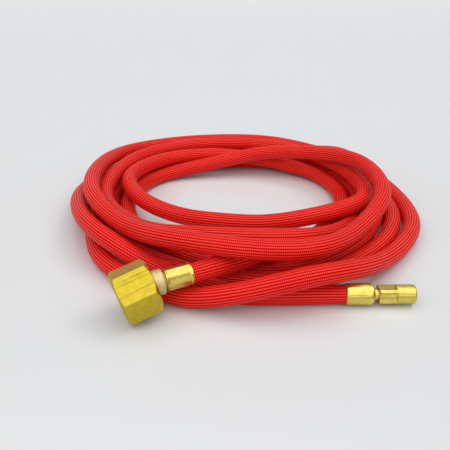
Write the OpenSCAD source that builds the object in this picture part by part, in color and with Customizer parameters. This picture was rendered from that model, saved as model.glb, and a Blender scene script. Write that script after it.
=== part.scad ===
// Welding torch power lead: a braided gas hose with a copper rope inside it, crimped at each end to a
// brass tailpiece that carries a loose union nut. It lies on the floor in a loose coil of seven turns.
// Millimetres. Z is up, the floor is Z = 0, and both ends lie at the front, on the -Y side.

/* [Hose] */
// Outside diameter of the braided hose
hose_d = 12.7; // [11.9:0.1:13.5]
// Thickness of the hose wall, lining and braid together
hose_wall = 1.8; // [1.5:0.1:2.1]
// Diameter of the copper rope in the bore
conductor_d = 5.2; // [4.6:0.1:5.6]

/* [Machine end] */
// Size across the flats of the large union nut
machine_nut_flats = 28.6; // [27:0.1:30]
// Length of the large union nut
machine_nut_length = 21.5; // [20:0.5:26]
// Diameter of its thread
machine_thread_d = 22.2; // [21.4:0.1:23.2]
// Length of its thread
machine_thread_length = 9; // [8:0.5:9]
// Diameter of the tailpiece barrel that the nut turns on
machine_barrel_d = 15; // [14:0.1:16.5]
// Diameter of the crimped ferrule before the crimp
machine_ferrule_d = 13.3; // [13.2:0.1:15]
// Length of the ferrule
machine_ferrule_length = 16.1; // [14:0.1:18]

/* [Torch end] */
// Diameter of the small union nut
torch_nut_d = 11.8; // [11.4:0.1:13]
// Size across its four spanner flats
torch_nut_flats = 9.6; // [9.6:0.1:11.2]
// Length of the small union nut
torch_nut_length = 21.8; // [21.5:0.1:26]
// Diameter of its thread
torch_thread_d = 9.5; // [9:0.1:9.8]
// Length of its thread
torch_thread_length = 10; // [9:0.5:10]
// Diameter of the neck that the nut turns on
torch_neck_d = 5.8; // [5:0.1:6.2]
// Diameter of the domed ferrule
torch_ferrule_d = 13.2; // [13.1:0.1:14.4]
// Length of the ferrule
torch_ferrule_length = 17; // [16:0.5:19]

/* [Hidden] */
// Joins and running fits
running_gap = 0.06;
crimp_bite = 0.1;
bore_clearance = 0.1;
mouth_chamfer = 1.5;
back_chamfer = 2.4;
groove_depth = 0.35;
groove_length = 2.5;
machine_ferrule_wall = 0.7;
torch_ferrule_wall = 0.5;
crimp_depth = 0.52;
crimp_squeeze = 0.93;
tilt_gap = 0.3;

// The hose's six-sided section stands on a flat. Its bore is a six-sided hole.
hose_sides = 6;
hose_r = hose_d / 2;
bore_corner_r = hose_r - hose_wall;
bore_flat_r = bore_corner_r * cos(180 / hose_sides);
conductor_r = conductor_d / 2;
spigot_r = bore_flat_r + crimp_bite;
sleeve_wall = 0.7;
sleeve_bore_r = conductor_r - crimp_bite;
sleeve_r = min(conductor_r + sleeve_wall, bore_flat_r - bore_clearance);
// Each ferrule squeezes the hose inside it
crimped_r = hose_r * crimp_squeeze;
ferrule_bore_r = crimped_r - crimp_bite;
machine_ferrule_r = max(machine_ferrule_d / 2, crimped_r + machine_ferrule_wall);
torch_ferrule_r = max(torch_ferrule_d / 2, crimped_r + torch_ferrule_wall);

// The turns are laid out for a 12.7 mm hose, and a thicker or thinner hose spreads or shrinks them all.
layout_hose_d = 12.7;
spread = hose_d / layout_hose_d;
first_station = 285;
station_step = 30;
// The middle of the turns, set so that the whole part's box is centred on the origin
coil_middle = [-1.42, 4.71, 0];

// Distance of each turn from the middle of the coil, at twelve stations anticlockwise from front right
turn_1_r = [97, 77, 79, 89, 101, 99, 102, 104, 96, 76, 60, 53];
turn_2_r = [56, 70, 96, 101, 111, 121, 132, 125, 112, 105, 99, 106];
turn_3_r = [115, 94.7, 93, 104, 115, 111, 111, 113, 109, 102.5, 107, 112.6];
turn_4_r = [122, 119.3, 120.3, 122.2, 129, 125, 125, 127, 122.5, 116.5, 130.5, 141];
turn_5_r = [147, 133.4, 134.4, 136, 152, 152, 149, 146, 124, 115, 113, 126];
turn_6_r = [130.5, 111, 110, 103, 96, 89, 87, 98.4, 94.3, 89.2, 89, 98];
turn_7_r = [108, 105.5, 106.6, 115, 137, 139, 140, 143, 136, 126, 127.2, 126.3];

// Height of the hose's middle at the same stations, where it lies on the floor or crosses other turns
low = 6.4;
turn_1_z = [18.6, low, low, low, 7, 12.5, 17, 19, 20, 18, 16, 16];
turn_2_z = [16, 19, 22, 21, 19.5, 20.5, 18.5, 20, 19.7, 19.8, 20, 30];
turn_3_z = [32.9, 15.7, low, low, low, low, low, low, low, low, low, low];
turn_4_z = [low, low, low, low, low, low, low, low, low, low, low, low];
turn_5_z = [24.5, 9.5, low, low, 7, 14.5, 17, 20, 27.5, 29.5, 27.5, 36.2];
turn_6_z = [33, 24, 31, 34.8, 29, 22.5, 13.5, low, low, low, low, low];
turn_7_z = [low, low, 9, 18.8, 18.8, low, low, low, 8.6, 17.5, 22, 7.4];

turns_r = [turn_1_r, turn_2_r, turn_3_r, turn_4_r, turn_5_r, turn_6_r, turn_7_r];
turns_z = [turn_1_z, turn_2_z, turn_3_z, turn_4_z, turn_5_z, turn_6_z, turn_7_z];
stations_per_turn = len(turn_1_r);

// Machine end: the loose nut stands on its lowest corner and hangs tilted on the tailpiece, which rises
// from there to the hose's exit. Both are placed from the point where their axes meet, inside the back wall.
machine_heading = 21.5;
machine_rise = 5;
nut_heading = 24.5;
nut_rise = 14.5;
corner_lean = 13.5;
machine_corner_r = machine_nut_flats / 2 / cos(30);
chamfer_inner_r = machine_nut_flats / 2 - 0.3;
chamfer_outer_r = machine_corner_r + 0.5;
corner_start = mouth_chamfer * (machine_corner_r - chamfer_inner_r) / (chamfer_outer_r - chamfer_inner_r);
machine_back_wall = 4;
groove_width = 1;
barrel_past_nut = 5.7;
machine_hose_start = machine_nut_length + barrel_past_nut + groove_width;
machine_length = machine_hose_start + machine_ferrule_length;
pivot_reach = machine_nut_length - machine_back_wall / 2;
pivot_height = machine_corner_r * cos(corner_lean) * cos(nut_rise) + (pivot_reach - corner_start) * sin(nut_rise);
machine_exit = [-31.4 * spread, -134.9 * spread, pivot_height + (machine_length - pivot_reach) * sin(machine_rise)];
function pointing(heading, rise) = [cos(heading) * cos(rise), sin(heading) * cos(rise), sin(rise)];
machine_axis = pointing(machine_heading, machine_rise);
nut_axis = pointing(nut_heading, nut_rise);
nut_tilt = acos(nut_axis * machine_axis);
tailpiece_origin = machine_exit + coil_middle - machine_length * machine_axis;
nut_pivot = tailpiece_origin + pivot_reach * machine_axis;
machine_mouth = nut_pivot - pivot_reach * nut_axis;

// Torch end: it lies level on its ferrule and points along +X.
torch_height = max(hose_r, torch_ferrule_r, torch_nut_d / 2);
torch_exit = [59.5 * spread, -132.9 * spread, torch_height] + coil_middle;
torch_axis = [1, 0, 0];
torch_flat_roll = -3;

// Inside the large nut. The tailpiece is measured along its own axis, with the same pivot distance.
machine_lead_in = 1;
machine_chamber_r = machine_thread_d / 2 - 0.3;
machine_shoulder_r = min(machine_barrel_d / 2 + 1.4, machine_thread_d / 2 - 1.6);
machine_shoulder_width = 2;
machine_nose_length = 2;
machine_nose_r = machine_shoulder_r - 3.5;
tilt_play = machine_shoulder_r * tan(nut_tilt) + tilt_gap;
machine_back_bore_r = machine_barrel_d / 2 / cos(nut_tilt) + machine_back_wall / 2 * tan(nut_tilt) + tilt_gap;
machine_seat = machine_nut_length - machine_back_wall;
machine_shoulder_back = machine_seat - tilt_play;
machine_nose_tip = machine_shoulder_back - machine_shoulder_width - machine_nose_length;
machine_thread_limit = machine_nose_tip - machine_nose_r * sin(nut_tilt) - tilt_gap;
machine_thread_end = min(machine_lead_in + machine_thread_length, machine_thread_limit);
end_play = 0.1;
gas_bore_r = 1.5;
nose_tube_r = sleeve_bore_r;
nose_tube_length = 9;
sleeve_length = 10;
sleeve_grip = 5;
gas_slot_width = 1.6;
gas_slot_length = 2.4;

// Inside the small fitting, measured from the hose's exit
torch_hose_end = torch_ferrule_length - 3.6;
torch_flange_width = 1;
torch_flange_r = min(5.4, hose_r - 0.6);
torch_nut_back = torch_ferrule_length + 2.6;
torch_back_wall = 3;
torch_chamber_r = 4.1;
torch_shoulder_r = 3.75;
torch_shoulder_width = 2.4;
torch_nose_length = 2.6;
torch_flat_length = 10.3;
torch_round = 1;
torch_lead_in = 0.3;
torch_neck_r = torch_neck_d / 2;

// Route of the hose: straight out of each ferrule for one diameter, and through every station between
station_count = stations_per_turn * len(turns_r);
function station(i) =
    let (
        turn = floor(i / stations_per_turn),
        k = i % stations_per_turn,
        angle = first_station + station_step * i,
        r = turns_r[turn][k] * spread
    )
    [r * cos(angle), r * sin(angle), turns_z[turn][k] * spread] + coil_middle;

function along_machine(u) = tailpiece_origin + u * machine_axis;
function along_torch(v) = torch_exit + v * torch_axis;

lead_in = [
    along_machine(machine_hose_start),
    along_machine(machine_length),
    along_machine(machine_length + hose_d),
    [0, -114, 20] * spread + coil_middle
];
lead_out = [
    [0, -133, low] * spread + coil_middle,
    [20, -133.4, low] * spread + coil_middle,
    along_torch(-hose_d),
    along_torch(0),
    along_torch(torch_hose_end)
];
knots = concat(lead_in, [for (i = [0 : station_count - 1]) station(i)], lead_out);
last_knot = len(knots) - 1;

function unit(v) = v / norm(v);
function span(i) = norm(knots[i + 1] - knots[i]);
function slope(i) = (knots[i + 1] - knots[i]) / span(i);
function heading(i) =
    i <= 2 ? machine_axis
    : i >= last_knot - 2 ? torch_axis
    : (slope(i) * span(i - 1) + slope(i - 1) * span(i)) / (span(i - 1) + span(i));

function on_floor(p) = [p[0], p[1], max(p[2], hose_r)];
function curve(i, s) = on_floor(
    (2 * s ^ 3 - 3 * s ^ 2 + 1) * knots[i]
    + (s ^ 3 - 2 * s ^ 2 + s) * span(i) * heading(i)
    + (3 * s ^ 2 - 2 * s ^ 3) * knots[i + 1]
    + (s ^ 3 - s ^ 2) * span(i) * heading(i + 1)
);

// Rings: one at each knot and one between, which is 24 to a turn, but none between on the straight ends
rings_per_span = 2;
free_rings = [
    for (i = [2 : last_knot - 3])
        for (k = [0 : rings_per_span - 1])
            curve(i, k / rings_per_span)
];
hose_line = concat(
    [knots[0], knots[1]],
    free_rings,
    [knots[last_knot - 2], knots[last_knot - 1], knots[last_knot]]
);
conductor_line = concat(
    [along_machine(machine_length + nose_tube_length)],
    free_rings,
    [along_torch(-hose_d), along_torch(-nose_tube_length)]
);

// Least gap of the coil to itself, measured between points along the rings' straight chords
samples_per_chord = 4;
near_chords = 4;
line_points = [
    for (i = [0 : len(hose_line) - 2])
        for (k = [0 : samples_per_chord - 1])
            hose_line[i] + (hose_line[i + 1] - hose_line[i]) * k / samples_per_chord
];
skip_points = near_chords * samples_per_chord;
function least_distance() = min([
    for (i = [0 : len(line_points) - 1 - skip_points])
        min([
            for (j = [i + skip_points : len(line_points) - 1])
                norm(line_points[i] - line_points[j])
        ])
]);
function path_length(line) = [
    for (i = 0, total = 0; i < len(line); i = i + 1, total = total + (i < len(line) ? norm(line[i] - line[i - 1]) : 0))
        total
][len(line) - 1];

// Section of a swept tube: corners across the line, with a flat side down
function across(line, i) = unit(line[min(i + 1, len(line) - 1)] - line[max(i - 1, 0)]);
function ring(line, i, r) =
    let (
        t = across(line, i),
        side = unit(cross(t, [0, 0, 1])),
        up = cross(side, t)
    )
    [
        for (k = [0 : hose_sides - 1])
            let (angle = 360 / hose_sides * k)
            line[i] + r * (cos(angle) * side + sin(angle) * up)
    ];

function tube_points(line, radii) = [for (i = [0 : len(line) - 1]) each ring(line, i, radii[i])];
function same_radius(line, r) = [for (i = [0 : len(line) - 1]) r];
function squeezed_ends(line) = [
    for (i = [0 : len(line) - 1])
        i < 2 || i > len(line) - 3 ? crimped_r : hose_r
];
function wall_faces(count, first, outward) = [
    for (i = [0 : count - 2])
        for (k = [0 : hose_sides - 1])
            let (
                a = first + i * hose_sides + k,
                b = first + i * hose_sides + (k + 1) % hose_sides,
                c = a + hose_sides,
                d = b + hose_sides
            )
            each outward ? [[a, c, b], [b, c, d]] : [[a, b, c], [b, d, c]]
];
function cap_faces(first, flip) = [
    for (k = [1 : hose_sides - 2])
        flip ? [first, first + k + 1, first + k] : [first, first + k, first + k + 1]
];
function end_ring_faces(outer, inner, flip) = [
    for (k = [0 : hose_sides - 1])
        let (
            a = outer + k,
            b = outer + (k + 1) % hose_sides,
            c = inner + k,
            d = inner + (k + 1) % hose_sides
        )
        each flip ? [[a, c, b], [b, c, d]] : [[a, b, c], [b, d, c]]
];

module swept_rod(line, r) {
    last_ring = hose_sides * (len(line) - 1);
    polyhedron(
        points = tube_points(line, same_radius(line, r)),
        faces = concat(
            wall_faces(len(line), 0, true),
            cap_faces(0, false),
            cap_faces(last_ring, true)
        )
    );
}

module swept_tube(line, outer_radii, inner_r) {
    count = len(line);
    inner_start = hose_sides * count;
    last_ring = hose_sides * (count - 1);
    polyhedron(
        points = concat(tube_points(line, outer_radii), tube_points(line, same_radius(line, inner_r))),
        faces = concat(
            wall_faces(count, 0, true),
            wall_faces(count, inner_start, false),
            end_ring_faces(0, inner_start, false),
            end_ring_faces(last_ring, inner_start + last_ring, true)
        )
    );
}

// Places a piece drawn along Z at an origin, with Z turned to the axis and X kept level
module along_axis(origin, axis) {
    side = unit(cross([0, 0, 1], axis));
    up = cross(axis, side);
    multmatrix([
        [side[0], up[0], axis[0], origin[0]],
        [side[1], up[1], axis[1], origin[1]],
        [side[2], up[2], axis[2], origin[2]]
    ])
        children();
}

module at_machine_end() {
    along_axis(tailpiece_origin, machine_axis)
        children();
}

module at_machine_nut() {
    along_axis(machine_mouth, nut_axis)
        children();
}

// Places a piece drawn along Z from the torch ferrule's open end
module at_torch_end() {
    translate(torch_exit)
        rotate([0, 90, 0])
            children();
}

// Turned profile with its outline given as radius and height
module turned(outline) {
    rotate_extrude($fn = 96)
        polygon(outline);
}

// Outline of a spigot from start to end, with one groove half-way that the crimp presses the hose into
function spigot(start, end) =
    let (
        middle = (start + end) / 2,
        root_r = spigot_r - groove_depth
    )
    [
        [spigot_r, start],
        [spigot_r, middle - groove_length / 2],
        [root_r, middle - groove_length / 2],
        [root_r, middle + groove_length / 2],
        [spigot_r, middle + groove_length / 2],
        [spigot_r, end]
    ];

module hose() {
    color("red")
        swept_tube(hose_line, squeezed_ends(hose_line), bore_corner_r);
}

module conductor() {
    color("peru")
        swept_rod(conductor_line, conductor_r);
}

module machine_union_nut() {
    color("gold")
        at_machine_nut()
            difference() {
                intersection() {
                    rotate(90 + corner_lean)
                        cylinder(r = machine_corner_r, h = machine_nut_length, $fn = 6);
                    turned([
                        [0, 0],
                        [chamfer_inner_r, 0],
                        [chamfer_outer_r, mouth_chamfer],
                        [chamfer_outer_r, machine_nut_length - back_chamfer],
                        [chamfer_inner_r, machine_nut_length],
                        [0, machine_nut_length]
                    ]);
                }
                turned([
                    [0, -1],
                    [machine_thread_d / 2 + 2, -1],
                    [machine_thread_d / 2, machine_lead_in],
                    [machine_thread_d / 2, machine_thread_end],
                    [machine_chamber_r, machine_thread_end],
                    [machine_chamber_r, machine_seat],
                    [machine_back_bore_r, machine_seat],
                    [machine_back_bore_r, machine_nut_length + 1],
                    [0, machine_nut_length + 1]
                ]);
            }
}

// Slot across a nose tube, where the gas leaves the bore for the hose
module gas_slot() {
    cube([4 * nose_tube_r, gas_slot_width, gas_slot_length], center = true);
}

module machine_tailpiece() {
    barrel_r = machine_barrel_d / 2;
    nose_end = machine_shoulder_back - machine_shoulder_width;
    barrel_end = machine_nut_length + barrel_past_nut;
    groove_r = hose_r - 1.2;
    color("khaki")
        at_machine_end()
            difference() {
                turned(concat(
                    [
                        [gas_bore_r, machine_nose_tip],
                        [machine_nose_r, machine_nose_tip],
                        [machine_shoulder_r, nose_end],
                        [machine_shoulder_r, machine_shoulder_back],
                        [barrel_r, machine_shoulder_back],
                        [barrel_r, barrel_end - 0.6],
                        [barrel_r - 0.6, barrel_end],
                        [groove_r, barrel_end],
                        [groove_r, machine_hose_start]
                    ],
                    spigot(machine_hose_start, machine_length),
                    [
                        [nose_tube_r, machine_length],
                        [nose_tube_r, machine_length + nose_tube_length],
                        [0, machine_length + nose_tube_length],
                        [0, machine_length + 2],
                        [gas_bore_r, machine_length + 2]
                    ]
                ));
                translate([0, 0, machine_length + 1])
                    gas_slot();
            }
}

module machine_ferrule() {
    crimp_flats = 2 * (machine_ferrule_r - crimp_depth);
    flare = 2;
    color("gold")
        at_machine_end()
            translate([0, 0, machine_hose_start])
                difference() {
                    union() {
                        cylinder(r = machine_ferrule_r, h = flare, $fn = 96);
                        cylinder(d = crimp_flats / cos(22.5), h = machine_ferrule_length, $fn = 8);
                    }
                    translate([0, 0, -1])
                        cylinder(r = ferrule_bore_r, h = machine_ferrule_length + 2, $fn = 96);
                }
}

module machine_conductor_sleeve() {
    color("peru")
        at_machine_end()
            translate([0, 0, machine_length + nose_tube_length - sleeve_grip])
                difference() {
                    cylinder(r = sleeve_r, h = sleeve_length, $fn = 96);
                    translate([0, 0, -1])
                        cylinder(r = sleeve_bore_r, h = sleeve_length + 2, $fn = 96);
                }
}

module torch_union_nut() {
    nut_r = torch_nut_d / 2;
    seat = torch_back_wall;
    thread_start = torch_nut_length - 1 - torch_thread_length;
    round_corner = [
        for (angle = [0 : 45 : 90])
            [nut_r - torch_round + torch_round * cos(angle), torch_nut_length - torch_round + torch_round * sin(angle)]
    ];
    color("gold")
        at_torch_end()
            translate([0, 0, torch_nut_back])
                difference() {
                    turned(concat([[0, 0], [nut_r - 0.4, 0], [nut_r, 0.4]], round_corner, [[0, torch_nut_length]]));
                    for (k = [0 : 3])
                        rotate(torch_flat_roll + 90 * k)
                            translate([torch_nut_flats / 2, -nut_r, -1])
                                cube([nut_r, 2 * nut_r, torch_flat_length + 1]);
                    turned([
                        [0, -1],
                        [torch_neck_r + running_gap, -1],
                        [torch_neck_r + running_gap, seat],
                        [torch_chamber_r, seat],
                        [torch_chamber_r, thread_start],
                        [torch_thread_d / 2, thread_start],
                        [torch_thread_d / 2, torch_nut_length - 1],
                        [torch_thread_d / 2 + torch_lead_in, torch_nut_length],
                        [torch_thread_d / 2 + torch_lead_in, torch_nut_length + 1],
                        [0, torch_nut_length + 1]
                    ]);
                }
}

module torch_tailpiece() {
    flange_end = torch_hose_end + torch_flange_width;
    bead_r = torch_neck_r + 0.5;
    bead_start = torch_ferrule_length + 0.4;
    bead_end = torch_nut_back - 0.4;
    seat = torch_nut_back + torch_back_wall + end_play;
    nose_end = seat + torch_shoulder_width;
    nose_tip = nose_end + torch_nose_length;
    color("khaki")
        at_torch_end()
            difference() {
                turned(concat(
                    [
                        [gas_bore_r, -2],
                        [0, -2],
                        [0, -nose_tube_length],
                        [nose_tube_r, -nose_tube_length],
                        [nose_tube_r, 0]
                    ],
                    spigot(0, torch_hose_end),
                    [
                        [torch_flange_r, torch_hose_end],
                        [torch_flange_r, flange_end],
                        [torch_neck_r, flange_end],
                        [torch_neck_r, bead_start],
                        [bead_r, bead_start],
                        [bead_r, bead_end],
                        [torch_neck_r, bead_end],
                        [torch_neck_r, seat],
                        [torch_shoulder_r, seat],
                        [torch_shoulder_r, nose_end],
                        [torch_shoulder_r - 1.8, nose_tip],
                        [gas_bore_r, nose_tip]
                    ]
                ));
                translate([0, 0, -1])
                    gas_slot();
            }
}

module torch_ferrule() {
    ferrule_r = torch_ferrule_r;
    dome = 2.4;
    inner_end = torch_hose_end + torch_flange_width;
    dome_arc = [
        for (angle = [0 : 30 : 90])
            [ferrule_r - dome + dome * cos(angle), torch_ferrule_length - dome + dome * sin(angle)]
    ];
    color("gold")
        at_torch_end()
            difference() {
                turned(concat([[0, 0], [ferrule_r, 0]], dome_arc, [[0, torch_ferrule_length]]));
                translate([0, 0, -1])
                    cylinder(r = ferrule_bore_r, h = inner_end + 1, $fn = 96);
                cylinder(r = torch_neck_r, h = torch_ferrule_length + 1, $fn = 96);
            }
}

module torch_conductor_sleeve() {
    color("peru")
        at_torch_end()
            translate([0, 0, sleeve_grip - nose_tube_length - sleeve_length])
                difference() {
                    cylinder(r = sleeve_r, h = sleeve_length, $fn = 96);
                    translate([0, 0, -1])
                        cylinder(r = sleeve_bore_r, h = sleeve_length + 2, $fn = 96);
                }
}

union() {
    echo(hose_length = path_length(hose_line));
    echo(least_gap = least_distance() - hose_d);
    echo(machine_mouth = machine_mouth, nut_axis = nut_axis, nut_tilt = nut_tilt);
    echo(machine_hose_exit = along_machine(machine_length), machine_axis = machine_axis);
    echo(machine_thread_end = machine_thread_end);
}
hose();
conductor();
machine_union_nut();
machine_tailpiece();
machine_ferrule();
machine_conductor_sleeve();
torch_union_nut();
torch_tailpiece();
torch_ferrule();
torch_conductor_sleeve();
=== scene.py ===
import math

import bmesh
import bpy
from mathutils import Matrix, Vector


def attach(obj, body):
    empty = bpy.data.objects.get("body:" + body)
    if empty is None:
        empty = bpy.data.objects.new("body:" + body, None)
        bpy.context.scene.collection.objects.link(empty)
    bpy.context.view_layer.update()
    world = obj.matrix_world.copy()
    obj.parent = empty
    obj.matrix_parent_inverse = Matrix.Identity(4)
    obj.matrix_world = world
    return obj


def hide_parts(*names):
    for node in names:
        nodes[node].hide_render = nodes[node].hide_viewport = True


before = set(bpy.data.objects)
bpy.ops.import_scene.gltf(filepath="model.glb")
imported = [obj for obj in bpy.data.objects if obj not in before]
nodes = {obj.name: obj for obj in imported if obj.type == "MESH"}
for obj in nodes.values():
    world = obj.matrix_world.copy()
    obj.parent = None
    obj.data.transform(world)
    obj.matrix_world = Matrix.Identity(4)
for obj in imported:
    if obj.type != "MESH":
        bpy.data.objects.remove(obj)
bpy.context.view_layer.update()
scene = bpy.context.scene
print("frame loaded")

# camera
viewpoint = {"place": (-0.01342, -0.40029, 0.1834), "tiltDown": 25.71, "lens": 43.2}

cameraData = bpy.data.cameras.new("viewCamera")
cameraData.lens = viewpoint["lens"]
cameraData.sensor_width = 36
cameraData.clip_start = 0.01
camera = bpy.data.objects.new("viewCamera", cameraData)
camera.location = viewpoint["place"]
camera.rotation_euler = (math.radians(90 - viewpoint["tiltDown"]), 0, 0)
scene.collection.objects.link(camera)
scene.camera = camera
scene.view_settings.view_transform = "Standard"
print("camera placed")

# route of the hose, in the order that it is laid down
low = 0.0064  # height of the hose's middle where it lies on the floor
coilLayout = {
    "hoseDiameter": 0.0127,
    "middle": (-0.00142, 0.00471, 0),
    "firstStation": 285,  # degrees, front right
    "stationStep": 30,
    "turnRadius": [
        [0.097, 0.077, 0.079, 0.089, 0.101, 0.099, 0.102, 0.104, 0.096, 0.076, 0.060, 0.053],
        [0.056, 0.070, 0.096, 0.101, 0.111, 0.121, 0.132, 0.125, 0.112, 0.105, 0.099, 0.106],
        [0.115, 0.0947, 0.093, 0.104, 0.115, 0.111, 0.111, 0.113, 0.109, 0.1025, 0.107, 0.1126],
        [0.122, 0.1193, 0.1203, 0.1222, 0.129, 0.125, 0.125, 0.127, 0.1225, 0.1165, 0.1300, 0.1403],
        [0.147, 0.1334, 0.1344, 0.136, 0.152, 0.152, 0.149, 0.146, 0.124, 0.115, 0.113, 0.126],
        [0.1305, 0.111, 0.110, 0.103, 0.096, 0.089, 0.087, 0.0984, 0.0943, 0.0892, 0.089, 0.098],
        [0.108, 0.1055, 0.1066, 0.115, 0.137, 0.139, 0.140, 0.143, 0.136, 0.126, 0.1268, 0.1257],
    ],
    "turnHeight": [
        [0.0186, low, low, low, 0.007, 0.0125, 0.017, 0.019, 0.020, 0.018, 0.016, 0.016],
        [0.016, 0.019, 0.022, 0.021, 0.0195, 0.0205, 0.0185, 0.020, 0.0197, 0.0198, 0.020, 0.030],
        [0.0329, 0.0157, low, low, low, low, low, low, low, low, low, low],
        [low, low, low, low, low, low, low, low, low, low, low, low],
        [0.0245, 0.0095, low, low, 0.007, 0.0145, 0.017, 0.020, 0.0275, 0.0295, 0.0275, 0.0362],
        [0.033, 0.024, 0.031, 0.0348, 0.029, 0.0225, 0.0135, low, low, low, low, low],
        [low, low, 0.009, 0.0188, 0.0188, low, low, low, 0.0086, 0.0175, 0.022, 0.0074],
    ],
    "passOver": (0, -0.114, 0.020),  # where the machine end crosses its first turns
    "runOut": [(0, -0.133, low), (0.020, -0.1334, low)],
}
machineEnd = {
    "exit": (-0.0314, -0.1349, 0.022275),
    "heading": 21.5,
    "rise": 5,
    "length": 0.0443,  # from the nut's mouth, measured along the tailpiece
    "hoseStart": 0.0282,
    "nutHeading": 24.5,
    "nutRise": 14.5,
    "pivotReach": 0.0195,
}
torchEnd = {"exit": (0.0595, -0.1329, 0.0066), "hoseEnd": 0.0134, "nutBack": 0.0196}


def pointing(headingDegrees, riseDegrees):
    heading, rise = math.radians(headingDegrees), math.radians(riseDegrees)
    level = math.cos(rise)
    return Vector((math.cos(heading) * level, math.sin(heading) * level, math.sin(rise)))


def atPlace(origin, axis):  # local Z along the axis, local X level
    side = Vector((0, 0, 1)).cross(axis).normalized()
    up = axis.cross(side)
    turn = Matrix((side.to_tuple(), up.to_tuple(), axis.to_tuple())).transposed().to_4x4()
    return Matrix.Translation(origin) @ turn


middle = Vector(coilLayout["middle"])
hoseRadius = coilLayout["hoseDiameter"] / 2
machineAxis = pointing(machineEnd["heading"], machineEnd["rise"])
machineExit = Vector(machineEnd["exit"]) + middle
tailpieceOrigin = machineExit - machineEnd["length"] * machineAxis
nutAxis = pointing(machineEnd["nutHeading"], machineEnd["nutRise"])
nutMouth = tailpieceOrigin + machineEnd["pivotReach"] * (machineAxis - nutAxis)
torchAxis = Vector((1, 0, 0))
torchExit = Vector(torchEnd["exit"]) + middle


def layRoute(layout):  # stations from inside the machine ferrule to inside the torch ferrule
    diameter = layout["hoseDiameter"]
    stations = [
        tailpieceOrigin + machineEnd["hoseStart"] * machineAxis,
        machineExit,
        machineExit + diameter * machineAxis,
        Vector(layout["passOver"]) + middle,
    ]
    angle = layout["firstStation"]
    for radii, heights in zip(layout["turnRadius"], layout["turnHeight"]):
        for radius, height in zip(radii, heights):
            turn = math.radians(angle)
            stations.append(Vector((radius * math.cos(turn), radius * math.sin(turn), height)) + middle)
            angle += layout["stationStep"]
    stations += [Vector(p) + middle for p in layout["runOut"]]
    insideFerrule = torchExit + torchEnd["hoseEnd"] * torchAxis
    stations += [torchExit - diameter * torchAxis, torchExit, insideFerrule]
    return stations


def smoothLine(stations, stepsPerSpan, lowest):  # smooth through all stations, straight at both ends
    last = len(stations) - 1
    spans = [(stations[i + 1] - stations[i]).length for i in range(last)]
    slopes = [(stations[i + 1] - stations[i]) / spans[i] for i in range(last)]

    def headingAt(i):
        if i <= 2:
            return machineAxis
        if i >= last - 2:
            return torchAxis
        return (slopes[i] * spans[i - 1] + slopes[i - 1] * spans[i]) / (spans[i - 1] + spans[i])

    line = []
    for i in range(last):
        steps = stepsPerSpan if 2 <= i < last - 2 else 4
        for k in range(steps):
            s = k / steps
            point = (
                (2 * s**3 - 3 * s**2 + 1) * stations[i]
                + (s**3 - 2 * s**2 + s) * spans[i] * headingAt(i)
                + (3 * s**2 - 2 * s**3) * stations[i + 1]
                + (s**3 - s**2) * spans[i] * headingAt(i + 1)
            )
            point.z = max(point.z, lowest)
            line.append(point)
    line.append(stations[last].copy())
    return line


hoseLine = smoothLine(layRoute(coilLayout), 14, hoseRadius)
lineLength = sum((b - a).length for a, b in zip(hoseLine, hoseLine[1:]))
print("route laid, metres:", round(lineLength, 3), "points:", len(hoseLine))


# helpers for node trees and meshes
def linkValue(tree, value, socket):
    if isinstance(value, bpy.types.NodeSocket):
        tree.links.new(value, socket)
    else:
        socket.default_value = value


def mathNode(tree, operation, *values):
    node = tree.nodes.new("ShaderNodeMath")
    node.operation = operation
    for value, socket in zip(values, node.inputs):
        linkValue(tree, value, socket)
    return node.outputs[0]


def addNode(tree, kind, settings=None, **inputs):  # an input's name takes _ for a space
    node = tree.nodes.new(kind)
    for option, value in (settings or {}).items():
        setattr(node, option, value)
    for label, value in inputs.items():
        linkValue(tree, value, node.inputs[label.replace("_", " ")])
    return node


def groupTree(name, treeType, inputs, outputs):
    tree = bpy.data.node_groups.new(name, treeType)
    for label, kind in outputs:
        tree.interface.new_socket(label, in_out="OUTPUT", socket_type=kind)
    for label, kind, value in inputs:
        socket = tree.interface.new_socket(label, in_out="INPUT", socket_type=kind)
        if value is not None:
            socket.default_value = value
    return tree, tree.nodes.new("NodeGroupInput"), tree.nodes.new("NodeGroupOutput")


def runTree(tree, name, values, line=None, material=None):  # sets the inputs and keeps a plain mesh
    seed = bpy.data.meshes.new(name + "Seed")
    if line is not None:
        seed.from_pydata([tuple(p) for p in line], [(i, i + 1) for i in range(len(line) - 1)], [])
    carrier = bpy.data.objects.new(name + "Seed", seed)
    scene.collection.objects.link(carrier)
    modifier = carrier.modifiers.new("build", "NODES")
    modifier.node_group = tree
    for item in tree.interface.items_tree:
        if item.item_type == "SOCKET" and item.in_out == "INPUT":
            if item.name in values:
                modifier[item.identifier] = values[item.name]
            elif item.name == "Finish":
                modifier[item.identifier] = material
    scene.view_layers[0].update()
    evaluated = carrier.evaluated_get(bpy.context.evaluated_depsgraph_get())
    mesh = bpy.data.meshes.new_from_object(evaluated)
    mesh.name = name
    bpy.data.objects.remove(carrier)
    bpy.data.meshes.remove(seed)
    piece = bpy.data.objects.new(name, mesh)
    scene.collection.objects.link(piece)
    return piece


# faces outwards, smooth but for sharp corners, and closed if asked
def settleMesh(piece, sharpAngle=None, closeHoles=False):
    build = bmesh.new()
    build.from_mesh(piece.data)
    if closeHoles:
        bmesh.ops.holes_fill(build, edges=[e for e in build.edges if e.is_boundary], sides=0)
    bmesh.ops.recalc_face_normals(build, faces=build.faces)
    build.to_mesh(piece.data)
    build.free()
    piece.data.shade_smooth()
    if sharpAngle:
        piece.data.set_sharp_from_angle(angle=math.radians(sharpAngle))


machinePlace = atPlace(tailpieceOrigin, machineAxis)
nutPlace = atPlace(nutMouth, nutAxis)
torchPlace = atPlace(torchExit, torchAxis)


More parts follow.
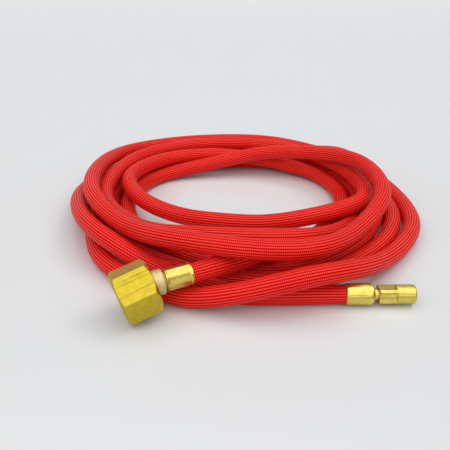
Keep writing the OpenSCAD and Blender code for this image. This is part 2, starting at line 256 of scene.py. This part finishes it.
# A closed outline of points (radius, height), spun about the place's Z. crimp(angle, radius, height)
# gives the radius after the jaws have closed.
def turnedPiece(name, place, outline, around, crimp, material):
    rows = len(outline)
    verts, faces = [], []
    for k in range(around):
        angle = 2 * math.pi * k / around
        for radius, height in outline:
            r = crimp(angle, radius, height)
            verts.append(tuple(place @ Vector((r * math.cos(angle), r * math.sin(angle), height))))
    for k in range(around):
        for j in range(rows):
            here, beside = k * rows, (k + 1) % around * rows
            faces.append((here + j, here + (j + 1) % rows, beside + (j + 1) % rows, beside + j))
    mesh = bpy.data.meshes.new(name)
    mesh.from_pydata(verts, [], faces)
    mesh.materials.append(material)
    piece = bpy.data.objects.new(name, mesh)
    scene.collection.objects.link(piece)
    settleMesh(piece, sharpAngle=40)
    return piece


# shader groups that more than one material uses
def buildBraidWeave():  # columns of slanted stitches along a hose, each slanting against the next
    tree, given, result = groupTree(
        "braidWeave",
        "ShaderNodeTree",
        [
            ("Weave Map", "NodeSocketVector", None),
            ("Columns", "NodeSocketFloat", 22),
            ("Stitch Pitch", "NodeSocketFloat", 0.00105),
            ("Slant", "NodeSocketFloat", 1.0),
        ],
        [("Height", "NodeSocketFloat"), ("Valley", "NodeSocketFloat"), ("Stitch", "NodeSocketFloat")],
    )
    split = addNode(tree, "ShaderNodeSeparateXYZ", Vector=given.outputs["Weave Map"])
    column = mathNode(tree, "MULTIPLY", split.outputs["X"], given.outputs["Columns"])
    across = mathNode(tree, "SUBTRACT", mathNode(tree, "FRACT", column), 0.5)
    odd = mathNode(tree, "MODULO", mathNode(tree, "FLOOR", column), 2)
    lean = mathNode(tree, "SUBTRACT", mathNode(tree, "MULTIPLY", odd, 2), 1)
    leaning = mathNode(tree, "MULTIPLY", lean, across)
    slanted = mathNode(tree, "MULTIPLY", leaning, given.outputs["Slant"])
    along = mathNode(tree, "DIVIDE", split.outputs["Y"], given.outputs["Stitch Pitch"])
    turns = mathNode(tree, "MULTIPLY", mathNode(tree, "ADD", along, slanted), 2 * math.pi)
    stitch = mathNode(tree, "MULTIPLY_ADD", mathNode(tree, "SINE", turns), 0.5, 0.5)
    crown = mathNode(tree, "COSINE", mathNode(tree, "MULTIPLY", across, math.pi))
    valley = mathNode(tree, "POWER", mathNode(tree, "SUBTRACT", 1, crown), 1.6)
    rounded = mathNode(tree, "POWER", crown, 0.6)
    height = mathNode(tree, "MULTIPLY", rounded, mathNode(tree, "MULTIPLY_ADD", stitch, 0.5, 0.5))
    tree.links.new(height, result.inputs["Height"])
    tree.links.new(valley, result.inputs["Valley"])
    tree.links.new(stitch, result.inputs["Stitch"])
    return tree


def buildHandled():  # smudges, fine scratches and a little tarnish on machined metal
    tree, given, result = groupTree(
        "handledMetal",
        "ShaderNodeTree",
        [
            ("Place", "NodeSocketVector", None),
            ("Smudge Size", "NodeSocketFloat", 260),
            ("Grain Size", "NodeSocketFloat", 2600),
        ],
        [("Smudge", "NodeSocketFloat"), ("Grain", "NodeSocketFloat")],
    )
    place = given.outputs["Place"]
    for label, detail, roughness in (("Smudge", 4.0, 0.6), ("Grain", 2.0, 0.7)):
        noise = addNode(
            tree,
            "ShaderNodeTexNoise",
            Vector=place,
            Scale=given.outputs[label + " Size"],
            Detail=detail,
            Roughness=roughness,
        )
        tree.links.new(noise.outputs["Fac"], result.inputs[label])
    return tree


braidWeave = buildBraidWeave()
handledMetal = buildHandled()


def newMaterial(name):
    material = bpy.data.materials.new(name)
    material.use_nodes = True
    return material, material.node_tree, material.node_tree.nodes["Principled BSDF"]


def colourRamp(tree, factor, stops):
    ramp = tree.nodes.new("ShaderNodeValToRGB")
    while len(ramp.color_ramp.elements) < len(stops):
        ramp.color_ramp.elements.new(0.5)
    for element, (position, colour) in zip(ramp.color_ramp.elements, stops):
        element.position = position
        element.color = (*colour, 1)
    tree.links.new(factor, ramp.inputs["Fac"])
    return ramp.outputs["Color"]


# hose
braidedHose = {
    "columns": 22,
    "columnDepth": 0.034,  # part of the radius
    "stitchPitch": 0.00114,
    "stitchHeight": 0.0002,
    "endGirth": 0.93,  # squeezed by the ferrules
    "squeezeStart": 0.016,
    "squeezeEnd": 0.028,
    # crown: a painted highlight, pale pink on the top of each column
    "crown": (1.0, 0.11, 0.08),
    "cloth": (0.98, 0.016, 0.007),
    # side and valley: painted shade, darker down each column's flanks and darkest in the valleys and stitch
    # pits
    "side": (0.82, 0.007, 0.003),
    "valley": (0.26, 0.001, 0.001),
    "roughness": 0.30,
    "gloss": 0.38,
}


def buildBraidFinish(look):
    material, tree, shader = newMaterial("braidedHose")
    place = addNode(tree, "ShaderNodeUVMap", {"uv_map": "weave"})
    weave = addNode(
        tree,
        "ShaderNodeGroup",
        {"node_tree": braidWeave},
        Weave_Map=place.outputs["UV"],
        Columns=look["columns"],
        Stitch_Pitch=look["stitchPitch"],
        Slant=0.6,
    )
    body = addNode(tree, "ShaderNodeTexCoord")
    fade = addNode(tree, "ShaderNodeTexNoise", Vector=body.outputs["Object"], Scale=38.0, Detail=3.0)
    # painted shade in the stitch pits and in the valleys between columns; the noise below adds random tone
    stitchPitShade = mathNode(tree, "SUBTRACT", 1, weave.outputs["Stitch"])
    valleyAndPitShade = mathNode(tree, "MULTIPLY_ADD", stitchPitShade, 0.85, weave.outputs["Valley"])
    depth = mathNode(tree, "ADD", valleyAndPitShade, mathNode(tree, "MULTIPLY_ADD", fade.outputs["Fac"], 0.16, -0.08))
    deepest = 1.2
    # the ramp runs from a painted highlight on the crests, through the yarn's own red, to painted shade in
    # the valleys
    stops = [(0.0, look["crown"]), (0.24, look["cloth"]), (0.6, look["side"]), (deepest, look["valley"])]
    part = mathNode(tree, "DIVIDE", depth, deepest)
    colour = colourRamp(tree, part, [(p / deepest, c) for p, c in stops])
    tree.links.new(colour, shader.inputs["Base Color"])
    rough = mathNode(tree, "MULTIPLY_ADD", weave.outputs["Valley"], 0.3, look["roughness"])
    tree.links.new(rough, shader.inputs["Roughness"])
    bump = addNode(
        tree,
        "ShaderNodeBump",
        Height=weave.outputs["Height"],
        Strength=0.9,
        Distance=look["stitchHeight"],
    )
    tree.links.new(bump.outputs["Normal"], shader.inputs["Normal"])
    crest = mathNode(tree, "MULTIPLY", weave.outputs["Height"], weave.outputs["Height"])
    glint = mathNode(tree, "MULTIPLY", crest, look["gloss"])  # crests catch the light, gaps don't
    tree.links.new(glint, shader.inputs["Specular IOR Level"])
    return material


def buildSweep():  # a ring of ribs swept along a line, twisted or straight, and kept above the floor
    tree, given, result = groupTree(
        "ribbedSweep",
        "GeometryNodeTree",
        [
            ("Geometry", "NodeSocketGeometry", None),
            ("Radius", "NodeSocketFloat", 0.006),
            ("Ribs", "NodeSocketInt", 22),
            ("Points Per Rib", "NodeSocketInt", 3),
            ("Rib Depth", "NodeSocketFloat", 0.05),
            ("Turns Per Metre", "NodeSocketFloat", 0.0),
            ("Floor Height", "NodeSocketFloat", 0.0),
            ("End Girth", "NodeSocketFloat", 1.0),
            ("Squeeze Start", "NodeSocketFloat", 0.01),
            ("Squeeze End", "NodeSocketFloat", 0.02),
            ("Finish", "NodeSocketMaterial", None),
        ],
        [("Geometry", "NodeSocketGeometry")],
    )
    curve = addNode(tree, "GeometryNodeMeshToCurve", Mesh=given.outputs["Geometry"])
    upright = addNode(tree, "GeometryNodeSetCurveNormal", {"mode": "Z_UP"}, Curve=curve.outputs["Curve"])
    along = addNode(tree, "GeometryNodeSplineParameter")
    whole = addNode(tree, "GeometryNodeCurveLength", Curve=curve.outputs["Curve"])
    keepAlong = tree.nodes.new("GeometryNodeCaptureAttribute")
    keepAlong.capture_items.new("FLOAT", "Along")
    tree.links.new(upright.outputs["Curve"], keepAlong.inputs["Geometry"])
    tree.links.new(along.outputs["Length"], keepAlong.inputs["Along"])
    perMetre = mathNode(tree, "MULTIPLY", along.outputs["Length"], given.outputs["Turns Per Metre"])
    twisted = addNode(
        tree,
        "GeometryNodeSetCurveTilt",
        Curve=keepAlong.outputs["Geometry"],
        Tilt=mathNode(tree, "MULTIPLY", perMetre, 2 * math.pi),
    )
    fromFarEnd = mathNode(tree, "SUBTRACT", whole.outputs["Length"], along.outputs["Length"])
    fromEnd = mathNode(tree, "MINIMUM", along.outputs["Length"], fromFarEnd)
    eased = {"interpolation_type": "SMOOTHSTEP"}
    girth = addNode(tree, "ShaderNodeMapRange", eased, Value=fromEnd, To_Max=1.0)
    tree.links.new(given.outputs["Squeeze Start"], girth.inputs["From Min"])
    tree.links.new(given.outputs["Squeeze End"], girth.inputs["From Max"])
    tree.links.new(given.outputs["End Girth"], girth.inputs["To Min"])
    sized = addNode(
        tree, "GeometryNodeSetCurveRadius", Curve=twisted.outputs["Curve"], Radius=girth.outputs["Result"]
    )

    ribPoints = mathNode(tree, "MULTIPLY", given.outputs["Ribs"], given.outputs["Points Per Rib"])
    ringPoints = mathNode(tree, "ADD", ribPoints, 1)
    ring = addNode(
        tree,
        "GeometryNodeCurveArc",
        Resolution=ringPoints,
        Radius=given.outputs["Radius"],
        Sweep_Angle=2 * math.pi,
    )
    aroundRing = addNode(tree, "GeometryNodeSplineParameter")
    keepRound = tree.nodes.new("GeometryNodeCaptureAttribute")
    keepRound.capture_items.new("FLOAT", "Round")
    tree.links.new(ring.outputs["Curve"], keepRound.inputs["Geometry"])
    tree.links.new(aroundRing.outputs["Factor"], keepRound.inputs["Round"])
    ribTurn = mathNode(tree, "MULTIPLY", keepRound.outputs["Round"], given.outputs["Ribs"])
    wave = mathNode(tree, "COSINE", mathNode(tree, "MULTIPLY", ribTurn, 2 * math.pi))
    dipped = mathNode(tree, "MULTIPLY_ADD", wave, 0.5, 0.5)
    dip = mathNode(tree, "MULTIPLY", dipped, given.outputs["Rib Depth"])
    position = addNode(tree, "GeometryNodeInputPosition")
    scaled = addNode(
        tree,
        "ShaderNodeVectorMath",
        {"operation": "SCALE"},
        Vector=position.outputs["Position"],
        Scale=mathNode(tree, "SUBTRACT", 1, dip),
    )
    ribbed = addNode(
        tree,
        "GeometryNodeSetPosition",
        Geometry=keepRound.outputs["Geometry"],
        Position=scaled.outputs["Vector"],
    )

    swept = addNode(
        tree,
        "GeometryNodeCurveToMesh",
        Curve=sized.outputs["Curve"],
        Profile_Curve=ribbed.outputs["Geometry"],
    )
    if "Scale" in swept.inputs:
        tree.links.new(girth.outputs["Result"], swept.inputs["Scale"])
    pair = addNode(
        tree, "ShaderNodeCombineXYZ", X=keepRound.outputs["Round"], Y=keepAlong.outputs["Along"]
    )
    mapped = addNode(
        tree,
        "GeometryNodeStoreNamedAttribute",
        {"data_type": "FLOAT2", "domain": "CORNER"},
        Geometry=swept.outputs["Mesh"],
        Name="weave",
        Value=pair.outputs["Vector"],
    )
    merged = addNode(
        tree, "GeometryNodeMergeByDistance", Geometry=mapped.outputs["Geometry"], Distance=0.00001
    )
    now = addNode(tree, "GeometryNodeInputPosition")
    here = addNode(tree, "ShaderNodeSeparateXYZ", Vector=now.outputs["Position"])
    lifted = mathNode(tree, "MAXIMUM", here.outputs["Z"], given.outputs["Floor Height"])
    above = addNode(tree, "ShaderNodeCombineXYZ", X=here.outputs["X"], Y=here.outputs["Y"], Z=lifted)
    resting = addNode(
        tree, "GeometryNodeSetPosition", Geometry=merged.outputs["Geometry"], Position=above.outputs["Vector"]
    )
    real = addNode(tree, "GeometryNodeRealizeInstances", Geometry=resting.outputs["Geometry"])
    painted = addNode(
        tree, "GeometryNodeSetMaterial", Geometry=real.outputs["Geometry"], Material=given.outputs["Finish"]
    )
    tree.links.new(painted.outputs["Geometry"], result.inputs["Geometry"])
    return tree


ribbedSweep = buildSweep()
hoseFinish = buildBraidFinish(braidedHose)
hose = runTree(
    ribbedSweep,
    "braidedHose",
    {
        "Radius": hoseRadius,
        "Ribs": braidedHose["columns"],
        "Points Per Rib": 3,
        "Rib Depth": braidedHose["columnDepth"],
        "Turns Per Metre": 0.0,
        "Floor Height": 0.0001,
        "End Girth": braidedHose["endGirth"],
        "Squeeze Start": braidedHose["squeezeStart"],
        "Squeeze End": braidedHose["squeezeEnd"],
    },
    hoseLine,
    hoseFinish,
)
settleMesh(hose, closeHoles=True)
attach(hose, "lead")
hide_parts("hose")
print("hose made, faces:", len(hose.data.polygons))

# copper rope inside the hose
copperRope = {
    "diameter": 0.0052,
    "bundles": 6,
    "bundleDepth": 0.28,
    "turnsPerMetre": 22,
    "colour": (0.62, 0.27, 0.15),
}


def buildCopperFinish(look):
    material, tree, shader = newMaterial("copperStrands")
    place = addNode(tree, "ShaderNodeUVMap", {"uv_map": "weave"})
    weave = addNode(
        tree,
        "ShaderNodeGroup",
        {"node_tree": braidWeave},
        Weave_Map=place.outputs["UV"],
        Columns=48.0,
        Stitch_Pitch=0.004,
        Slant=0.1,
    )
    # painted shade: the grooves between the bundles darken to 0.4 of the copper's colour
    groovePaintedShade = [(0.0, look["colour"]), (1.0, tuple(0.4 * c for c in look["colour"]))]
    tree.links.new(colourRamp(tree, weave.outputs["Valley"], groovePaintedShade), shader.inputs["Base Color"])
    bump = addNode(tree, "ShaderNodeBump", Height=weave.outputs["Height"], Strength=0.6, Distance=0.0002)
    tree.links.new(bump.outputs["Normal"], shader.inputs["Normal"])
    shader.inputs["Metallic"].default_value = 1
    shader.inputs["Roughness"].default_value = 0.35
    return material


ropeInset = 0.009  # the rope starts past each nose tube
endReach = 0.03  # further off than this, a point of the line belongs to the coil
ropeStart = machineExit + ropeInset * machineAxis
ropeEnd = torchExit - ropeInset * torchAxis


def inCoil(point, exitPoint, outward):
    away = point - exitPoint
    return away.dot(outward) > ropeInset or away.length > endReach


inner = [p for p in hoseLine if inCoil(p, machineExit, machineAxis) and inCoil(p, torchExit, -torchAxis)]
innerLine = [ropeStart] + inner + [ropeEnd]
rope = runTree(
    ribbedSweep,
    "copperRope",
    {
        "Radius": copperRope["diameter"] / 2,
        "Ribs": copperRope["bundles"],
        "Points Per Rib": 5,
        "Rib Depth": copperRope["bundleDepth"],
        "Turns Per Metre": copperRope["turnsPerMetre"],
        "Floor Height": 0.0,
    },
    innerLine,
    buildCopperFinish(copperRope),
)
settleMesh(rope, closeHoles=True)
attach(rope, "lead")
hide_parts("conductor")
print("rope made, faces:", len(rope.data.polygons))

# brass finishes
brassLooks = {
    "nutBrass": {
        "colour": (0.60, 0.46, 0.04),
        "dark": (0.42, 0.30, 0.025),
        "roughness": 0.38,
        "drawn": 0.7,
        "lines": 0.42,
        "bump": 0.00006,
    },
    "paleBrass": {
        "colour": (0.74, 0.64, 0.33),
        "dark": (0.58, 0.47, 0.22),
        "roughness": 0.58,
        "drawn": 0.0,
        "lines": 0.0,
        "bump": 0.00010,
    },
    "ferruleBrass": {
        "colour": (0.80, 0.67, 0.17),
        "dark": (0.55, 0.41, 0.07),
        "roughness": 0.32,
        "drawn": 0.35,
        "lines": 0.3,
        "bump": 0.00003,
    },
    "copperTube": {
        "colour": (0.62, 0.27, 0.15),
        "dark": (0.45, 0.17, 0.09),
        "roughness": 0.35,
        "drawn": 0.0,
        "lines": 0.0,
        "bump": 0.00004,
    },
}


def buildBrass(name, place):  # machined metal with lines drawn along the place's Z
    look = brassLooks[name]
    material, tree, shader = newMaterial(name)
    body = addNode(tree, "ShaderNodeTexCoord")
    inverse = place.inverted()
    level = addNode(
        tree,
        "ShaderNodeMapping",
        Vector=body.outputs["Object"],
        Rotation=tuple(inverse.to_euler()),
        Location=tuple(inverse.translation),
    )
    drawnOut, markedOut = (1, 1, 0.04), (1, 1, 0.015)  # how far the fine lines and the tool marks run
    stretched = addNode(tree, "ShaderNodeMapping", Vector=level.outputs["Vector"], Scale=drawnOut)
    wear = addNode(tree, "ShaderNodeGroup", {"node_tree": handledMetal}, Place=level.outputs["Vector"])
    drawn = addNode(
        tree, "ShaderNodeTexNoise", Vector=stretched.outputs["Vector"], Scale=1500.0, Detail=3.0
    )
    smudge = mathNode(tree, "MULTIPLY", wear.outputs["Smudge"], 0.9)
    toolMarks = addNode(tree, "ShaderNodeMapping", Vector=level.outputs["Vector"], Scale=markedOut)
    marks = addNode(
        tree, "ShaderNodeTexNoise", Vector=toolMarks.outputs["Vector"], Scale=520.0, Detail=1.0
    )
    line = addNode(
        tree,
        "ShaderNodeMapRange",
        {"interpolation_type": "SMOOTHSTEP"},
        Value=marks.outputs["Fac"],
        From_Min=0.60,
        From_Max=0.72,
        To_Max=look["lines"],
    )
    streaked = mathNode(tree, "MULTIPLY_ADD", drawn.outputs["Fac"], look["drawn"] * 0.5, smudge)
    tone = mathNode(tree, "SUBTRACT", streaked, line.outputs["Result"])
    inMarks = tuple(0.4 * c for c in look["dark"])
    shades = [(0.0, inMarks), (0.3, look["dark"]), (0.75, look["colour"])]
    tree.links.new(colourRamp(tree, tone, shades), shader.inputs["Base Color"])
    rough = mathNode(tree, "MULTIPLY_ADD", wear.outputs["Smudge"], 0.24, look["roughness"] - 0.12)
    tree.links.new(rough, shader.inputs["Roughness"])
    grain = mathNode(tree, "MULTIPLY", wear.outputs["Grain"], 0.5)
    fine = mathNode(tree, "MULTIPLY_ADD", drawn.outputs["Fac"], look["drawn"], grain)
    bump = addNode(tree, "ShaderNodeBump", Height=fine, Strength=0.4, Distance=look["bump"])
    tree.links.new(bump.outputs["Normal"], shader.inputs["Normal"])
    shader.inputs["Metallic"].default_value = 1
    return material


def repaint(nodeName, material):
    for slot in nodes[nodeName].material_slots:
        slot.material = material


machineNutBrass = buildBrass("nutBrass", nutPlace)
machineFerruleBrass = buildBrass("ferruleBrass", machinePlace)
torchBrass = buildBrass("ferruleBrass", torchPlace)
repaint("machine_union_nut", machineNutBrass)
repaint("torch_union_nut", torchBrass)
repaint("machine_tailpiece", buildBrass("paleBrass", machinePlace))
repaint("torch_tailpiece", torchBrass)
repaint("machine_conductor_sleeve", buildBrass("copperTube", machinePlace))
repaint("torch_conductor_sleeve", buildBrass("copperTube", torchPlace))
print("metal painted")

# ferrules, crimped by eight jaws at the machine end and lightly by six at the torch end
ferrules = {
    "machineStart": 0.0282,
    "machineLength": 0.0161,
    "machineRadius": 0.00665,
    "machineJaws": 8,
    "machineJawDepth": 0.0005,
    "torchLength": 0.017,
    "torchRadius": 0.0066,
    "torchDome": 0.0024,
    "torchJaws": 6,
    "torchJawDepth": 0.0002,
    "bore": 0.0057,
    "neckBore": 0.0029,
    "around": 192,
}


def jawCrimp(jaws, depth, start, end, run, phase):
    # Each jaw leaves a flat, with a fine crease where two jaws meet
    def crimp(angle, radius, height):
        if radius < ferrules["bore"] + 0.0001:
            return radius
        inward = max(0.0, min(1.0, (height - start) / run, (end - height) / run))
        inward = inward * inward * (3 - 2 * inward)
        part = (angle * jaws / (2 * math.pi) + phase) % 1.0 - 0.5
        flat = min(radius, (radius - depth) / math.cos(part * 2 * math.pi / jaws))
        crease = 0.00012 * math.exp(-(((abs(part) - 0.5) / 0.03) ** 2))
        return radius - inward * (radius - flat + crease)

    return crimp


def machineFerruleOutline(sizes):
    r, length = sizes["machineRadius"], sizes["machineLength"]
    steps = [0.0004 * k for k in range(1, 39)]
    outer = [(r - 0.0003, 0), (r, 0.0003)] + [(r, 0.0003 + h) for h in steps]
    return [(sizes["bore"], 0)] + outer + [(r - 0.0003, length), (sizes["bore"], length)]


def torchFerruleOutline(sizes):
    r, length, dome = sizes["torchRadius"], sizes["torchLength"], sizes["torchDome"]
    straight = length - dome
    outer = [(r - 0.0003, 0), (r, 0.0003)] + [(r, straight * k / 24) for k in range(1, 25)]
    arc = [
        (r - dome + dome * math.cos(math.radians(a)), straight + dome * math.sin(math.radians(a)))
        for a in range(10, 91, 10)
    ]
    inside = [(sizes["neckBore"], length), (sizes["neckBore"], straight), (sizes["bore"], straight)]
    return [(sizes["bore"], 0)] + outer + arc + inside


machineFerrule = turnedPiece(
    "machineFerrule",
    machinePlace @ Matrix.Translation((0, 0, ferrules["machineStart"])),
    machineFerruleOutline(ferrules),
    ferrules["around"],
    jawCrimp(
        ferrules["machineJaws"],
        ferrules["machineJawDepth"],
        start=0.0006,
        end=ferrules["machineLength"] - 0.0012,
        run=0.0009,
        phase=0.0,
    ),
    machineFerruleBrass,
)
torchFerrule = turnedPiece(
    "torchFerrule",
    torchPlace,
    torchFerruleOutline(ferrules),
    ferrules["around"],
    jawCrimp(
        ferrules["torchJaws"], ferrules["torchJawDepth"], start=0.0008, end=0.0135, run=0.0012, phase=0.4
    ),
    torchBrass,
)
for piece, node in ((machineFerrule, "machine_ferrule"), (torchFerrule, "torch_ferrule")):
    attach(piece, "lead")
    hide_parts(node)
print("ferrules crimped")

# threads inside both nuts, the crests standing in from the plain wall
threads = {
    "machineThread": {
        "radius": 0.0111,
        "pitch": 0.001814,
        "start": 0.0011,
        "turns": 4.7,
        "crest": 0.00085,
    },
    "torchThread": {
        "radius": 0.00475,
        "pitch": 0.001058,
        "start": 0.0111,
        "turns": 9.0,
        "crest": 0.0005,
    },
}


def buildThread():  # a four-cornered ridge along a helix about Z, half of it sunk in the wall
    tree, given, result = groupTree(
        "threadRidge",
        "GeometryNodeTree",
        [
            ("Wall Radius", "NodeSocketFloat", 0.01),
            ("Pitch", "NodeSocketFloat", 0.0018),
            ("Turns", "NodeSocketFloat", 5.0),
            ("Crest", "NodeSocketFloat", 0.0008),
            ("Start", "NodeSocketFloat", 0.0),
            ("Finish", "NodeSocketMaterial", None),
        ],
        [("Geometry", "NodeSocketGeometry")],
    )
    rise = mathNode(tree, "MULTIPLY", given.outputs["Pitch"], given.outputs["Turns"])
    helix = addNode(
        tree, "GeometryNodeCurveSpiral", Resolution=64, Height=rise, Rotations=given.outputs["Turns"]
    )
    tree.links.new(given.outputs["Wall Radius"], helix.inputs["Start Radius"])
    tree.links.new(given.outputs["Wall Radius"], helix.inputs["End Radius"])
    upright = addNode(tree, "GeometryNodeSetCurveNormal", {"mode": "Z_UP"}, Curve=helix.outputs["Curve"])
    section = addNode(tree, "GeometryNodeCurvePrimitiveCircle", Resolution=4, Radius=given.outputs["Crest"])
    swept = addNode(
        tree,
        "GeometryNodeCurveToMesh",
        Curve=upright.outputs["Curve"],
        Profile_Curve=section.outputs["Curve"],
        Fill_Caps=True,
    )
    shift = addNode(tree, "ShaderNodeCombineXYZ", Z=given.outputs["Start"])
    placed = addNode(
        tree, "GeometryNodeTransform", Geometry=swept.outputs["Mesh"], Translation=shift.outputs["Vector"]
    )
    real = addNode(tree, "GeometryNodeRealizeInstances", Geometry=placed.outputs["Geometry"])
    painted = addNode(
        tree, "GeometryNodeSetMaterial", Geometry=real.outputs["Geometry"], Material=given.outputs["Finish"]
    )
    tree.links.new(painted.outputs["Geometry"], result.inputs["Geometry"])
    return tree


threadRidge = buildThread()


def cutThread(name, place, body, material):
    size = threads[name]
    ridge = runTree(
        threadRidge,
        name,
        {
            "Wall Radius": size["radius"] + 0.0001,
            "Pitch": size["pitch"],
            "Turns": size["turns"],
            "Crest": size["crest"],
            "Start": size["start"],
        },
        None,
        material,
    )
    ridge.data.transform(place)
    settleMesh(ridge, sharpAngle=30)
    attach(ridge, body)


nutBack = torchPlace @ Matrix.Translation((0, 0, torchEnd["nutBack"]))
cutThread("machineThread", nutPlace, "machine_nut", machineNutBrass)
cutThread("torchThread", nutBack, "torch_nut", torchBrass)
print("threads cut")

# floor, backdrop and light
studio = {
    "floorColour": (0.69, 0.70, 0.71),
    "floorRoughness": 0.22,
    "keyFrom": (-0.1, -0.4, 1.0),
    "keySpread": 122,  # degrees, as wide as a large soft box overhead
    "keyStrength": 2.95,
    "sideFrom": (0.6, 0.1, 0.8),
    "sideSpread": 30,
    "sideStrength": 0.5,
    "skyTop": 0.10,
    "skyFront": 0.22,  # from the side that both ends lie on
    "skyBack": 0.06,
    "shown": 0.50,  # what the camera and glossy surfaces see of the sky low down behind the object
    "shownAbove": 0.42,
    "shownFront": 0.34,
}

floorMesh = bpy.data.meshes.new("floorSweep")
floorRows = [(-3, 0), (5, 0), (5.6, 0.1), (5.9, 0.4), (6, 1), (6, 3)]
floorMesh.from_pydata(
    [(x, y, z - 0.0001) for y, z in floorRows for x in (-4, 4)],
    [],
    [(2 * i, 2 * i + 1, 2 * i + 3, 2 * i + 2) for i in range(len(floorRows) - 1)],
)
floorMesh.shade_smooth()
floor = bpy.data.objects.new("floorSweep", floorMesh)
scene.collection.objects.link(floor)
floorFinish, floorTree, floorShader = newMaterial("glossyWhite")
floorShader.inputs["Base Color"].default_value = (*studio["floorColour"], 1)
floorShader.inputs["Roughness"].default_value = studio["floorRoughness"]
floorMesh.materials.append(floorFinish)


def softSun(name, comesFrom, spread, strength):
    lamp = bpy.data.lights.new(name, "SUN")
    lamp.angle = math.radians(spread)
    lamp.energy = strength
    holder = bpy.data.objects.new(name, lamp)
    holder.rotation_euler = Vector(comesFrom).to_track_quat("Z", "Y").to_euler()
    scene.collection.objects.link(holder)


def fade(tree, value, start, end, low, high):  # eased step from low to high
    step = addNode(
        tree,
        "ShaderNodeMapRange",
        {"interpolation_type": "SMOOTHSTEP"},
        Value=value,
        From_Min=start,
        From_Max=end,
        To_Min=low,
        To_Max=high,
    )
    return step.outputs["Result"]


def buildSky(look):  # strongest from the front, so that the gaps between turns stay deep
    world = bpy.data.worlds.new("studioSky")
    world.use_nodes = True
    tree = world.node_tree
    facing = addNode(tree, "ShaderNodeTexCoord")
    direction = addNode(tree, "ShaderNodeSeparateXYZ", Vector=facing.outputs["Generated"])
    around = fade(tree, direction.outputs["Y"], -0.5, 0.5, look["skyFront"], look["skyBack"])
    lit = fade(tree, direction.outputs["Z"], 0.4, 0.9, around, look["skyTop"])
    upward = fade(tree, direction.outputs["Z"], 0.15, 0.45, look["shown"], look["shownAbove"])
    shown = fade(tree, direction.outputs["Y"], -0.5, 0.2, look["shownFront"], upward)
    ray = addNode(tree, "ShaderNodeLightPath")
    seen = mathNode(tree, "MAXIMUM", ray.outputs["Is Camera Ray"], ray.outputs["Is Glossy Ray"])
    strength = addNode(tree, "ShaderNodeMix", Factor=seen, A=lit, B=shown)
    background = tree.nodes["Background"]
    background.inputs["Color"].default_value = (0.97, 0.98, 1, 1)
    tree.links.new(strength.outputs["Result"], background.inputs["Strength"])
    return world


for lampName in ("key", "side"):
    softSun(
        lampName + "Light",
        studio[lampName + "From"],
        studio[lampName + "Spread"],
        studio[lampName + "Strength"],
    )
scene.world = buildSky(studio)
print("studio set")
